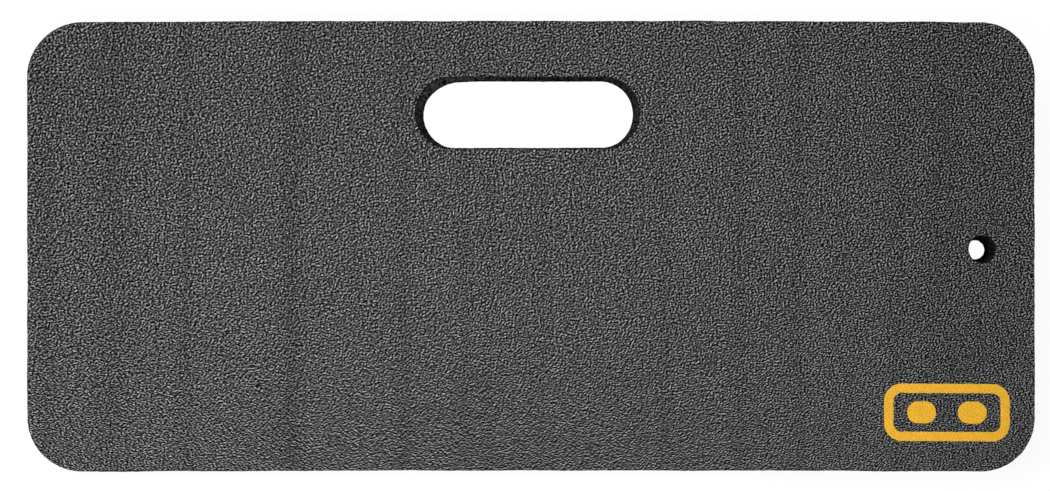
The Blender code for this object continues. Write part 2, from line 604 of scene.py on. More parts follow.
    def nick_reach(self, x: np.ndarray, y: np.ndarray) -> np.ndarray:
        """Measures how far places lie from the nick's middle.

        Args:
            x: Places along the pad.
            y: Places across it.

        Returns:
            The distances, which are 1 on the nick's oval edge.
        """
        turn_x, turn_y = 0.8, 0.6
        along = (x - self.nick[0]) * turn_x + (y - self.nick[1]) * turn_y
        across = (y - self.nick[1]) * turn_x - (x - self.nick[0]) * turn_y
        return np.hypot(along / self.nick_size[0], across / self.nick_size[1])

    def relief(self, x: np.ndarray, y: np.ndarray, face: Face) -> np.ndarray:
        """Shapes a skin with roller marks, slow swell and orange peel.

        The underside's high places are pressed flat by the floor.

        Args:
            x: Places along the pad.
            y: Places across it.
            face: Which skin.

        Returns:
            How far the skin stands above its flat level.
        """
        flat = np.stack([x, y], axis=1)
        height = self.swell.at(flat, face.value)
        height += self.peel.at(flat, face.value)
        if face is Face.KNEELING:
            reach = self.nick_reach(x, y)
            height -= self.bands(x) * self.band_depth
            height -= self.nick_depth * np.exp(-(reach**2))
            height += self.nick_lip * np.exp(-(((reach - 1.7) / 0.5) ** 2))
        else:
            height = np.minimum(height, 0.0)
        return height

    def skin_height(self, x: np.ndarray, y: np.ndarray, depth: np.ndarray, face: Face) -> np.ndarray:
        """Returns the height of a skin's outer surface.

        Args:
            x: Places along the pad.
            y: Places across it.
            depth: How far each place is from the nearest edge.
            face: Which skin.

        Returns:
            Z at each place.
        """
        level = self.sizes.top if face is Face.KNEELING else self.sizes.bottom
        calm = 1 - np.exp(-np.maximum(depth, 0) / (2 * MILLIMETRE))
        return level + face.value * (self.relief(x, y, face) * calm - self.drop(depth))

    def ragged(self, points: np.ndarray) -> np.ndarray:
        """Returns how far places on the cut walls stray out of the material."""
        return self.wander.at(points) + self.drag.at(points) + self.torn.at(points) + self.sprung(points)

    def dragged(self, x: np.ndarray, y: np.ndarray, reach: float) -> np.ndarray:
        """Marks the slot's -X, +Y corner, where the die dragged.

        Args:
            x: Places along the pad.
            y: Places across it.
            reach: How far from the corner's middle the mark fades.

        Returns:
            How near each place lies, up to 1.
        """
        slot = self.sizes.slot[0]
        middle_x = slot.centre_x - slot.length / 2 + slot.radius * (1 + math.cos(self.spring_turn))
        middle_y = slot.centre_y + slot.radius * math.sin(self.spring_turn)
        return np.exp(-((np.hypot(x - middle_x, y - middle_y) / reach) ** 2))

    def sprung(self, points: np.ndarray) -> np.ndarray:
        """Returns how far the slot's wall springs in at that corner, most at the underside."""
        down = np.clip(1 - self.sizes.share_up(points[:, 2]), 0, 1)
        return self.spring * down * self.dragged(points[:, 0], points[:, 1], self.spring_reach)

    def wall_inset(self, z: float, outer: bool) -> float:
        """Curves a cut wall.

        Args:
            z: The height.
            outer: True for the outline's wall, False for an opening's.

        Returns:
            How far back from the die's straight cut the wall lies, below zero where it bulges.
        """
        share = self.sizes.share_up(z)
        dish = self.wall_dish if outer else -self.bore_bulge
        return dish * (1 - abs(2 * share - 1) ** DISH_FADE)


# --- Meshes ---


class ClosedMesh:
    """Gathers the points and faces of one closed piece."""

    def __init__(self) -> None:
        """Starts with nothing."""
        self.blocks: list[np.ndarray] = []
        self.faces: list[list[int]] = []
        self.count = 0

    def add_points(self, points: np.ndarray) -> np.ndarray:
        """Adds points.

        Args:
            points: The points, one row each.

        Returns:
            Their numbers.
        """
        self.blocks.append(points)
        self.count += len(points)
        return np.arange(self.count - len(points), self.count)

    def add_faces(self, faces: np.ndarray, turned: bool) -> None:
        """Adds faces given as rows of point numbers, turned over if asked."""
        self.faces += (faces[:, ::-1] if turned else faces).tolist()

    def add_band(self, upper: np.ndarray, lower: np.ndarray, turned: bool) -> None:
        """Joins two matching anticlockwise loops with faces that look outwards, or inwards if turned."""
        band = np.stack([upper, lower, np.roll(lower, -1), np.roll(upper, -1)], axis=1)
        self.add_faces(band, turned)

    def points(self) -> np.ndarray:
        """Returns every point, one row each."""
        return np.concatenate(self.blocks)

    def finished(self, name: str, form: PadForm, material: bpy.types.Material) -> bpy.types.Object:
        """Makes the Blender object.

        Args:
            name: The piece's name.
            form: The pad's form, which bends the points and gives each the masks that materials read.
            material: The piece's material.

        Returns:
            The object, in the scene, riding on the pad.
        """
        straight = self.points()
        mesh = bpy.data.meshes.new(name)
        mesh.from_pydata(form.bent(straight).tolist(), [], self.faces)
        self.add_masks(mesh, straight, form)
        mesh.materials.append(material)
        mesh.shade_smooth()
        mesh.set_sharp_from_angle(angle=SHARP)
        mesh.validate()
        piece = bpy.data.objects.new(name, mesh)
        bpy.context.scene.collection.objects.link(piece)
        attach(piece, "root")
        LOG.info("%s: %d points, %d faces", name, len(straight), len(self.faces))
        return piece

    @staticmethod
    def add_masks(mesh: bpy.types.Mesh, straight: np.ndarray, form: PadForm) -> None:
        """Stores the masks that the materials read on the mesh's points.

        Args:
            mesh: The mesh.
            straight: Its points before the pad was bent.
            form: The pad's form.
        """
        x, y, z = straight.T
        region = form.region_at(form.sizes.top)
        depth = region.depth(x, y)
        from_slot, from_hole = (opening.distance(x, y) for opening in region.openings)
        rim_width, bore_width, painted_light_reach = 0.9 * MILLIMETRE, 3 * MILLIMETRE, 24 * MILLIMETRE
        in_nick = np.clip(4.0 * np.exp(-(form.nick_reach(x, y) ** 2)) - 0.5, 0, 1)
        masks = {
            # The rim mask places painted shade on the rolled rims and marks the skin's own cut edge.
            "rim": np.exp(-np.maximum(depth, 0) / rim_width),
            # The band mask places painted shade in the bands across the kneeling skin.
            "band": form.bands(x),
            # The nick mask places painted shade in the nick's dent.
            "nick": in_nick * (z > form.sizes.core_top),
            # The bore and hole masks place painted shade on the openings' walls and rims, most in the hang
            # hole.
            "bore": np.clip(1.5 - np.minimum(from_slot, from_hole) / bore_width, 0, 1),
            "hole": np.clip(1.5 - from_hole / bore_width, 0, 1),
            # The torn mask places painted light on the slot's -X end wall.
            "torn": form.dragged(x, y, painted_light_reach),
        }
        for name, values in masks.items():
            stored = mesh.attributes.new(name, "FLOAT", "POINT")
            stored.data.foreach_set("value", values.astype(np.float32))


def wall_ring(
    form: PadForm,
    edge: RoundedOutline,
    inward: float,
    steps: tuple[int, int, int],
    z: float,
    tuck: float = 0.0,
) -> np.ndarray:
    """Places one ring of points round a cut wall.

    Args:
        form: The pad's form.
        edge: The die's straight cut at that height.
        inward: The sign that growing the edge takes to go into the material.
        steps: How many steps the edge is walked in.
        z: The height.
        tuck: How far the ring lies back from the wall.

    Returns:
        The points, one row each.
    """
    inset = inward * (form.wall_inset(z, inward < 0) + tuck)
    ring, outward = edge.grown(inset).loop(steps)
    points = np.column_stack([ring, np.full(len(ring), z)])
    points[:, :2] += -inward * outward * form.ragged(points)[:, None]
    return points


@dataclass(frozen=True)
class SkinSheet:
    """One dense, grained skin: its outer surface, the rolled rims, its own cut edge and its hidden back.

    Attributes:
        form: The pad's form.
        face: Which skin.
        pitch: The distance between points on the outer surface.
        spacing: The same along the edges.
        back_pitch: The same on the hidden back.
        seat: How far the back stays off the core.
    """

    form: PadForm
    face: Face
    pitch: float
    spacing: float
    back_pitch: float = 9.0 * MILLIMETRE
    seat: float = 0.02 * MILLIMETRE

    def ring_insets(self) -> list[float]:
        """Places the rings of points beside an edge.

        Returns:
            How far in from the edge each ring lies.
        """
        turns = np.radians(np.arange(0, 91, 18))
        roll = self.form.rim_radius * (1 - np.cos(turns))
        beyond = (0.95, 1.5, 2.3)
        return [*map(float, roll), *(depth * MILLIMETRE for depth in beyond)]

    def nick_points(self) -> list[np.ndarray]:
        """Places the extra points that the nick needs.

        Returns:
            X and Y of each point, as one cluster, or nothing for the underside.
        """
        if self.face is Face.UNDER:
            return []
        turns = np.arange(12) * math.pi / 6
        circle = np.stack([np.cos(turns), np.sin(turns)], axis=1)
        rings = [circle * radius * MILLIMETRE for radius in (0.25, 0.5, 0.8, 1.15, 1.6)]
        return [np.concatenate([np.zeros((1, 2)), *rings]) + np.array(self.form.nick)]

    def build(self, name: str, material: bpy.types.Material) -> bpy.types.Object:
        """Builds the skin as one closed mesh.

        Args:
            name: The piece's name.
            material: Its material.

        Returns:
            The piece.
        """
        sizes, form, face = self.form.sizes, self.form, self.face
        outer_level = sizes.top if face is Face.KNEELING else sizes.bottom
        back_level = sizes.core_top if face is Face.KNEELING else sizes.core_bottom
        back_level += face.value * self.seat
        region = form.region_at(outer_level)
        counts = region.counts(self.spacing)
        sheet = region.triangulated(counts, self.ring_insets(), self.pitch, self.nick_points())
        x, y = sheet.points.T
        depth = region.depth(x, y)
        surface = np.stack([x, y, form.skin_height(x, y, depth, face)], axis=1)
        stray = form.ragged(surface) * np.exp(-np.maximum(depth, 0) / MILLIMETRE)
        surface[:, :2] += sheet.out * stray[:, None]
        mesh = ClosedMesh()
        mesh.add_points(surface)
        mesh.add_faces(sheet.triangles, face is Face.UNDER)
        rim_level = outer_level - face.value * (form.rim_radius + form.rim_sink)
        back_loops = []
        back_region = form.region_at(back_level)
        levels = np.linspace(rim_level, back_level, 4)[1:]
        looks_in = face is Face.KNEELING
        walls = zip(region.edges(), back_region.edges(), sheet.loops, counts, strict=True)
        for (edge, inward), (back_edge, _), upper, steps in walls:
            for share, z in zip((1 / 3, 2 / 3, 1), levels, strict=True):
                cut = edge.towards(back_edge, share)
                lower = mesh.add_points(wall_ring(form, cut, inward, steps, z))
                mesh.add_band(upper, lower, (inward > 0) is looks_in)
                upper = lower
            back_loops.append(upper)
        add_cap(mesh, back_region, back_loops, back_level, counts, self.back_pitch, looks_in)
        return mesh.finished(name, form, material)


def add_cap(
    mesh: ClosedMesh,
    region: Region,
    loops: list[np.ndarray],
    level: float,
    counts: Sequence[tuple[int, int, int]],
    pitch: float,
    turned: bool,
) -> None:
    """Closes a piece with a flat face between loops of points that it already has.

    Args:
        mesh: The piece.
        region: The material at that level.
        loops: The point numbers of each edge, in the order of region.edges().
        level: The face's height.
        counts: How many steps each loop was walked in.
        pitch: The distance between points inside the face.
        turned: True for a face that looks down.
    """
    sheet = region.triangulated(counts, [0.0], pitch)
    numbers = np.empty(len(sheet.points), int)
    border = np.concatenate(sheet.loops)
    numbers[border] = np.concatenate(loops)
    inner = np.setdiff1d(np.arange(len(sheet.points)), border)
    inner_points = sheet.points[inner]
    numbers[inner] = mesh.add_points(np.column_stack([inner_points, np.full(len(inner), level)]))
    mesh.add_faces(numbers[sheet.triangles], turned)


@dataclass(frozen=True)
class CutCore:
    """The black cellular core, whose dished, die-cut walls show at the outline and in both openings.

    Attributes:
        form: The pad's form.
        spacing: The distance between points along a wall.
        rows: The number of rows of points down a wall.
        back_pitch: The distance between points on the hidden faces.
        tuck: How far the walls lie back from the skins' edges.
        crowding: How much of the rows' spacing crowds towards the skins.
    """

    form: PadForm
    spacing: float = 0.72 * MILLIMETRE
    rows: int = 32
    back_pitch: float = 9.0 * MILLIMETRE
    tuck: float = 0.07 * MILLIMETRE
    crowding: float = 0.45

    def row_levels(self) -> np.ndarray:
        """Places the wall's rows, closer together towards the skins.

        Returns:
            Their heights, from the top down.
        """
        sizes = self.form.sizes
        shares = (1 - np.cos(np.linspace(0, math.pi, self.rows))) / 2
        even = np.linspace(0, 1, self.rows)
        blend = self.crowding * shares + (1 - self.crowding) * even
        return sizes.core_top + (sizes.core_bottom - sizes.core_top) * blend

    def build(self, name: str, material: bpy.types.Material) -> bpy.types.Object:
        """Builds the core as one closed mesh.

        Args:
            name: The piece's name.
            material: Its material.

        Returns:
            The piece.
        """
        sizes, form = self.form.sizes, self.form
        top_region = form.region_at(sizes.core_top)
        bottom_region = form.region_at(sizes.core_bottom)
        mesh = ClosedMesh()
        top_loops, bottom_loops = [], []
        counts = top_region.counts(self.spacing)
        for (upper_edge, inward), (lower_edge, _), steps in zip(
            top_region.edges(), bottom_region.edges(), counts, strict=True
        ):
            above = None
            for z in self.row_levels():
                share = (sizes.core_top - z) / (sizes.core_top - sizes.core_bottom)
                cut = upper_edge.towards(lower_edge, share)
                row = mesh.add_points(wall_ring(form, cut, inward, steps, z, self.tuck))
                if above is None:
                    top_loops.append(row)
                else:
                    mesh.add_band(above, row, inward > 0)
                above = row
            bottom_loops.append(above)
        add_cap(mesh, top_region, top_loops, sizes.core_top, counts, self.back_pitch, False)
        add_cap(mesh, bottom_region, bottom_loops, sizes.core_bottom, counts, self.back_pitch, True)
        return mesh.finished(name, form, material)


@dataclass(frozen=True)
class InkFilm:
    """One island of printed ink, a thin film that follows the kneeling face.

    Attributes:
        form: The pad's form.
        spacing: The distance between points along its edges.
        pitch: The distance between points inside it.
        film: How thick it stands on the skin.
        root: How deep it soaks in.
        stray: How its edges stray.
    """

    form: PadForm
    spacing: float = 0.45 * MILLIMETRE
    pitch: float = 0.9 * MILLIMETRE
    film: float = 0.05 * MILLIMETRE
    root: float = 0.03 * MILLIMETRE
    stray: WaveField = WaveField(2.2 * MILLIMETRE, 0.05 * MILLIMETRE, 71)

    def surface(self, points: np.ndarray, out: np.ndarray, above: np.ndarray) -> np.ndarray:
        """Lays flat points on the kneeling face, their edges strayed a little along the grain.

        Args:
            points: X and Y of each point.
            out: The direction in which each strays, or zero.
            above: How far each stands above the skin.

        Returns:
            The points in space.
        """
        x, y = points.T
        depth = self.form.region_at(self.form.sizes.top).depth(x, y)
        z = self.form.skin_height(x, y, depth, Face.KNEELING) + above
        laid = np.column_stack([x, y, z])
        laid[:, :2] += out * self.stray.at(laid)[:, None]
        return laid

    def build(self, name: str, region: Region, material: bpy.types.Material) -> bpy.types.Object:
        """Builds the island as one closed mesh.

        Args:
            name: The piece's name.
            region: The printed shape.
            material: The ink.

        Returns:
            The piece.
        """
        shoulder = 0.15 * MILLIMETRE
        sheet = region.triangulated(region.counts(self.spacing), [0.0, shoulder], self.pitch)
        inside = region.depth(*sheet.points.T) > shoulder * 2 / 3
        crown = np.where(inside, self.film, 0.4 * self.film)
        fade = np.where(inside, 0.0, 1.0)[:, None]
        mesh = ClosedMesh()
        mesh.add_points(self.surface(sheet.points, sheet.out * fade, crown))
        mesh.add_faces(sheet.triangles, False)
        roots = np.full(len(crown), -self.root)
        under = mesh.add_points(self.surface(sheet.points, sheet.out * fade, roots))
        mesh.add_faces(under[sheet.triangles], True)
        for (_, inward), loop in zip(region.edges(), sheet.loops, strict=True):
            mesh.add_band(loop, under[loop], inward > 0)
        return mesh.finished(name, self.form, material)


# --- Materials ---


class Graph:
    """Short calls for building one node tree."""

    def __init__(self, tree: bpy.types.NodeTree) -> None:
        """Holds the tree that the calls build."""
        self.tree = tree

    def node(self, kind: str, *values: object, **settings: object) -> bpy.types.Node:
        """Adds a node.

        Args:
            kind: Blender's name for its kind.
            values: What its first inputs are given, in order.
            settings: The node's own settings.

        Returns:
            The node.
        """
        made = self.tree.nodes.new(kind)
        for name, value in settings.items():
            setattr(made, name, value)
        for number, value in enumerate(values):
            self.put(made.inputs[number], value)
        return made

    def put(self, socket: Socket, value: object) -> None:
        """Gives an input its value.

        Args:
            socket: The input.
            value: The value, or the output that is linked into it.
        """
        if isinstance(value, Socket):
            self.tree.links.new(value, socket)
        else:
            socket.default_value = value

    def feed(self, node: bpy.types.Node, inputs: dict[str, object]) -> bpy.types.bpy_prop_collection:
        """Gives a node's inputs by name.

        Args:
            node: The node.
            inputs: Each input's name, and its value or what is linked into it.

        Returns:
            The node's outputs.
        """
        for name, value in inputs.items():
            self.put(node.inputs[name], value)
        return node.outputs

    def math(self, operation: str, first: object, second: object = 0.0) -> Socket:
        """Adds a Math node and returns its result."""
        return self.node("ShaderNodeMath", first, second, operation=operation).outputs[0]

    def times(self, first: object, second: object) -> Socket:
        """Multiplies two values."""
        return self.math("MULTIPLY", first, second)

    def plus(self, first: object, second: object) -> Socket:
        """Adds two values."""
        return self.math("ADD", first, second)

    def curve(self, value: object, *terms: float) -> Socket:
        """Works out a polynomial.

        Args:
            value: What it is a polynomial of.
            terms: Its factors, from that of the highest power down to the constant.

        Returns:
            The result.
        """
        total, *rest = terms
        for term in rest:
            total = self.plus(self.times(value, total), term)
        return total

    def spread(self, value: object, low: object, high: object, to_low: object, to_high: object) -> Socket:
        """Maps a value from one range to another, clamped at both ends."""
        return self.node("ShaderNodeMapRange", value, low, high, to_low, to_high).outputs[0]

    def split(self, vector: object) -> list[Socket]:
        """Splits a vector and returns its X, Y and Z."""
        return list(self.node("ShaderNodeSeparateXYZ", vector).outputs)

    def joined(self, *parts: object) -> Socket:
        """Joins X, Y and Z to a vector."""
        return self.node("ShaderNodeCombineXYZ", *parts).outputs[0]

    def place(self) -> Socket:
        """Returns the place on the object, in metres."""
        return self.node("ShaderNodeTexCoord").outputs["Object"]

    def shaded(self, colour: object, value: object) -> Socket:
        """Multiplies a colour by a value."""
        grey = self.node("ShaderNodeCombineColor", value, value, value).outputs[0]
        return self.mixed(1.0, colour, grey, "MULTIPLY")

    def mixed(self, share: object, first: object, second: object, blend: str = "MIX") -> Socket:
        """Mixes two colours.

        Args:
            share: How much of the second colour counts.
            first: The first colour.
            second: The second colour.
            blend: Blender's name for the way to mix.

        Returns:
            The result.
        """
        made = self.node("ShaderNodeMix", data_type="RGBA", blend_type=blend)
        self.put(made.inputs["Factor"], share)
        for socket, given in zip((made.inputs[6], made.inputs[7]), (first, second), strict=True):
            self.put(socket, (*given, 1.0) if isinstance(given, tuple) and len(given) == 3 else given)
        return made.outputs[2]

    def ramp(self, value: object, stops: Sequence[tuple[float, Colour]]) -> Socket:
        """Turns a value into a colour.

        Args:
            value: The value, from 0 to 1.
            stops: Values and the colours at them.

        Returns:
            The colour.
        """
        made = self.node("ShaderNodeValToRGB")
        made.color_ramp.interpolation = "LINEAR"
        elements = made.color_ramp.elements
        while len(elements) < len(stops):
            elements.new(0.5)
        for element, (place, colour) in zip(elements, stops, strict=True):
            element.position = place
            element.color = (*colour, 1.0)
        self.put(made.inputs[0], value)
        return made.outputs[0]

    def mask(self, name: str) -> Socket:
        """Reads one of the masks stored on the mesh's points."""
        return self.node("ShaderNodeAttribute", attribute_name=name).outputs["Fac"]

    def masked(self, name: str, without: float, within: float, start: float = 0.0) -> Socket:
        """Goes from one value to another as a mask rises from its start to 1."""
        return self.spread(self.mask(name), start, 1.0, without, within)

    def placed(self, group: bpy.types.NodeTree, **inputs: object) -> bpy.types.bpy_prop_collection:
        """Places a node group, gives its inputs by name and returns its outputs."""
        return self.feed(self.node("ShaderNodeGroup", node_tree=group), inputs)

    def noise(self, vector: object, scale: object, detail: float, rough: float) -> Socket:
        """Adds a noise and returns its value, from 0 to 1."""
        inputs = {"Vector": vector, "Scale": scale, "Detail": detail, "Roughness": rough}
        return self.feed(self.node("ShaderNodeTexNoise", noise_dimensions="3D"), inputs)[0]


@dataclass(frozen=True)
class Group:
    """A shader node group as it is built.

    Attributes:
        tree: The group.
        graph: What builds it.
        given: Its inputs, by name.
        wanted: Its outputs, by name.
    """

    tree: bpy.types.NodeTree
    graph: Graph
    given: bpy.types.bpy_prop_collection
    wanted: bpy.types.bpy_prop_collection

    @classmethod
    def started(cls, name: str, inputs: dict[str, float], outputs: Sequence[str]) -> "Group":
        """Starts a group whose sockets are all plain values.

        Args:
            name: The group's name.
            inputs: Each input's name and usual value.
            outputs: The outputs' names.

        Returns:
            The group.
        """
        tree = bpy.data.node_groups.new(name, "ShaderNodeTree")
        for label, value in inputs.items():
            socket = tree.interface.new_socket(label, in_out="INPUT", socket_type="NodeSocketFloat")
            socket.default_value = value
        for label in outputs:
            tree.interface.new_socket(label, in_out="OUTPUT", socket_type="NodeSocketFloat")
        graph = Graph(tree)
        given = graph.node("NodeGroupInput").outputs
        wanted = graph.node("NodeGroupOutput").inputs
        return cls(tree, graph, given, wanted)


@dataclass(frozen=True)
class PebbleGrain:
    """The pebble grain of both skins: Height, from 0 in the pits to 1 on the pebbles.

    The sheet was drawn out as it was embossed, so the pebbles lie flat and close beside the front edge,
    and turn up towards its two ends. Elsewhere they lie nearly at random. A curve's factors are listed
    from the highest power of X down.

    Attributes:
        front: Where the front edge is, along Y.
        fade: How far back from it the flat lay fades.
        trace: The least share of it that still shows.
        smile: How the rows curve up towards the ends there.
        crowding: How far they are drawn towards it.
        rows: How many times closer the rows lie than the columns, and how far they slope.
        per_pitch: How many cells of the Gabor noise fit in one pitch.
        fineness: The curve of the pebbles' fineness along the pad.
        lay: How strongly the pebbles lie one way, away from the front edge and beside it.
        end_calm: How fast that is lost towards the ends, with the square of X.
        turn: How far the pebbles away from the front edge are turned.
        fan: The curve of their angle beside the front edge.
        right_turn: How much more they turn towards +X.
        creases: How many fine creases fit in one pitch.
        crease_share: How strong they are.
        depth: The curve that scales the grain's height, in its tone and its relief, along the pad; it
            grows towards +X.
        end_depth: How much deeper it is at the front edge's ends.
        low: The rise that becomes a height of 0.
        high: The rise that becomes a height of 1.
    """

    front: float = -0.09
    fade: float = 0.06
    trace: float = 0.05
    smile: float = -0.5
    crowding: float = -0.0135
    rows: tuple[float, float] = (1.06, -0.12)
    per_pitch: float = 0.9
    fineness: tuple[float, float] = (0.35, 1.14)
    lay: tuple[float, float] = (0.16, 0.48)
    end_calm: float = 30.0
    turn: float = 0.85
    fan: tuple[float, float] = (1.9, 0.07)
    right_turn: float = 3.0
    creases: float = 3.1
    crease_share: float = 0.26
    depth: tuple[float, float, float] = (5.2, 1.0, 0.95)
    end_depth: float = 0.22
    low: float = -0.5
    high: float = 0.58

    def group(self) -> bpy.types.NodeTree:
        """Makes the group, with the inputs Pitch and Contrast.

        Returns:
            The group.
        """
        made = Group.started("pebble_grain", {"Pitch": 0.00155, "Contrast": 1.35}, ["Height"])
        graph, pitch = made.graph, made.given["Pitch"]
        x, y, z = graph.split(graph.place())
        beside_front = graph.math("EXPONENT", graph.math("DIVIDE", graph.plus(y, -self.front), -self.fade))
        smile = graph.times(graph.times(x, x), self.smile)
        drawn = graph.times(graph.plus(smile, self.crowding), beside_front)
        across = graph.plus(graph.times(y, self.rows[0]), graph.times(x, self.rows[1]))
        vector = graph.joined(x, graph.plus(across, drawn), z)
        lain = graph.spread(beside_front, self.trace, 1.0, 0.0, 1.0)
        at_ends = graph.math("MINIMUM", graph.times(graph.times(x, x), self.end_calm), 1.0)
        flattest = graph.times(lain, graph.math("SUBTRACT", 1.0, at_ends))
        inputs = {
            "Vector": vector,
            "Scale": graph.math("DIVIDE", self.per_pitch, pitch),
            "Frequency": graph.curve(x, *self.fineness),
            "Anisotropy": graph.spread(flattest, 0.0, 1.0, *self.lay),
            "Orientation": self.angle(graph, x, lain),
        }
        pebbles = graph.feed(graph.node("ShaderNodeTexGabor", gabor_type="2D"), inputs)["Value"]
        creases = graph.noise(vector, graph.math("DIVIDE", self.creases, pitch), 1.0, 0.5)
        fine = graph.times(graph.math("SUBTRACT", creases, 0.5), self.crease_share)
        rise = graph.plus(graph.math("SUBTRACT", pebbles, 0.5), fine)
        end_depth = graph.times(graph.times(at_ends, lain), self.end_depth)
        depth = graph.plus(graph.curve(x, *self.depth), end_depth)
        rise = graph.times(rise, graph.times(made.given["Contrast"], depth))
        graph.put(made.wanted["Height"], graph.spread(rise, self.low, self.high, 0.0, 1.0))
        return made.tree

    def angle(self, graph: Graph, x: Socket, lain: Socket) -> Socket:
        """Turns the pebbles.

        Args:
            graph: The graph.
            x: The place along the pad.
            lain: How far the pebbles lie flat, up to 1.

        Returns:
            The pebbles' angle.
        """
        right = graph.math("MAXIMUM", x, 0.0)
        more = graph.times(graph.times(right, right), self.right_turn)
        fanned = graph.plus(graph.plus(graph.times(x, self.fan[0]), more), self.fan[1])
        spared = graph.times(graph.math("SUBTRACT", 1.0, lain), self.turn)
        return graph.plus(graph.plus(graph.times(fanned, lain), math.pi / 2), spared)


class SharedEffects:
    """The node groups that more than one finish or piece uses, each made once."""

    def __init__(self) -> None:
        """Makes the groups."""
        self.grain = PebbleGrain().group()
        self.cells = self.make_cells()
        self.mottle = self.make_mottle()

    @staticmethod
    def make_cells() -> bpy.types.NodeTree:
        """Makes the cut foam's cells: Height, and Pore where a cell lies open.

        Returns:
            The group.
        """
        made = Group.started("cut_cells", {"Cell": 0.00042, "Torn": 0.5}, ["Height", "Pore"])
        graph = made.graph
        place = graph.place()
        per_metre = graph.math("DIVIDE", 1.0, made.given["Cell"])
        cells = graph.node("ShaderNodeTexVoronoi", feature="F1")
        from_middle = graph.feed(cells, {"Vector": place, "Scale": per_metre})["Distance"]
        hollow, rim = 0.15, 0.75
        walls = graph.spread(from_middle, hollow, rim, 0.0, 1.0)
        shreds_per_cell, wall_share = 0.22, 0.7
        shreds = graph.noise(place, graph.times(per_metre, shreds_per_cell), 3.0, 0.6)
        torn = graph.times(graph.math("SUBTRACT", shreds, 0.5), made.given["Torn"])
        height = graph.plus(graph.times(walls, wall_share), torn)
        graph.put(made.wanted["Height"], height)
        open_below, closed_above = 0.05, 0.45
        graph.put(made.wanted["Pore"], graph.spread(height, open_below, closed_above, 1.0, 0.0))
        return made.tree

    @staticmethod
    def make_mottle() -> bpy.types.NodeTree:
        """Makes uneven tone, drawn out up the pad if Drag is above 1: Tone, a factor near 1.

        Returns:
            The group.
        """
        made = Group.started("slow_mottle", {"Patch": 0.02, "Amount": 0.1, "Drag": 1.0}, ["Tone"])
        graph = made.graph
        x, y, z = graph.split(graph.place())
        place = graph.joined(x, y, graph.math("DIVIDE", z, made.given["Drag"]))
        clouds = graph.noise(place, graph.math("DIVIDE", 1.0, made.given["Patch"]), 2.0, 0.55)
        lean = graph.times(graph.math("SUBTRACT", clouds, 0.5), 2.0)
        graph.put(made.wanted["Tone"], graph.plus(1.0, graph.times(lean, made.given["Amount"])))
        return made.tree


@dataclass(frozen=True)
class Surface:
    """A new material with one Principled shader.

    Attributes:
        material: The material.
        graph: What builds its nodes.
        shader: The shader.
    """

    material: bpy.types.Material
    graph: Graph
    shader: bpy.types.Node

    @classmethod
    def started(cls, name: str) -> "Surface":
        """Starts the material.

        Args:
            name: Its name.

        Returns:
            The material with its shader.
        """
        material = bpy.data.materials.new(name)
        material.use_nodes = True
        tree = material.node_tree
        return cls(material, Graph(tree), tree.nodes["Principled BSDF"])

    def dress(self, colour: object, roughness: object, specular: float) -> None:
        """Sets the shader's colour, roughness and specular level."""
        inputs = {"Base Color": colour, "Roughness": roughness, "Specular IOR Level": specular}
        self.graph.feed(self.shader, inputs)

    def raise_by(self, height: object, distance: float) -> None:
        """Raises the surface.

        Args:
            height: The height, without a unit.
            distance: How far a height of 1 stands out.
        """
        inputs = {"Strength": 1.0, "Distance": distance, "Height": height}
        bumped = self.graph.feed(self.graph.node("ShaderNodeBump"), inputs)["Normal"]
        self.graph.feed(self.shader, {"Normal": bumped})


def tone_curve(black: float, crest: float, tint: Colour, steps: int = 9) -> list[tuple[float, Colour]]:
    """Spreads an albedo evenly to the eye, from painted shade in the pits of the grain to painted
    highlight on its crests.

    Args:
        black: The grain height up to which the pits are black.
        crest: The albedo on the highest crests.
        tint: What multiplies red, green and blue.
        steps: The number of stops.

    Returns:
        Places from 0 to 1 and the colour at each.
    """
    darkest, gamma, shoulder = 0.0006, 2.2, 0.3
    stops = []
    for place in np.linspace(black, 1, steps):
        rise = (place - black) / (1 - black)
        grey = darkest + crest * rise**gamma * (1 - shoulder * rise**4)
        stops.append((float(place), tuple(float(grey * share) for share in tint)))
    return stops


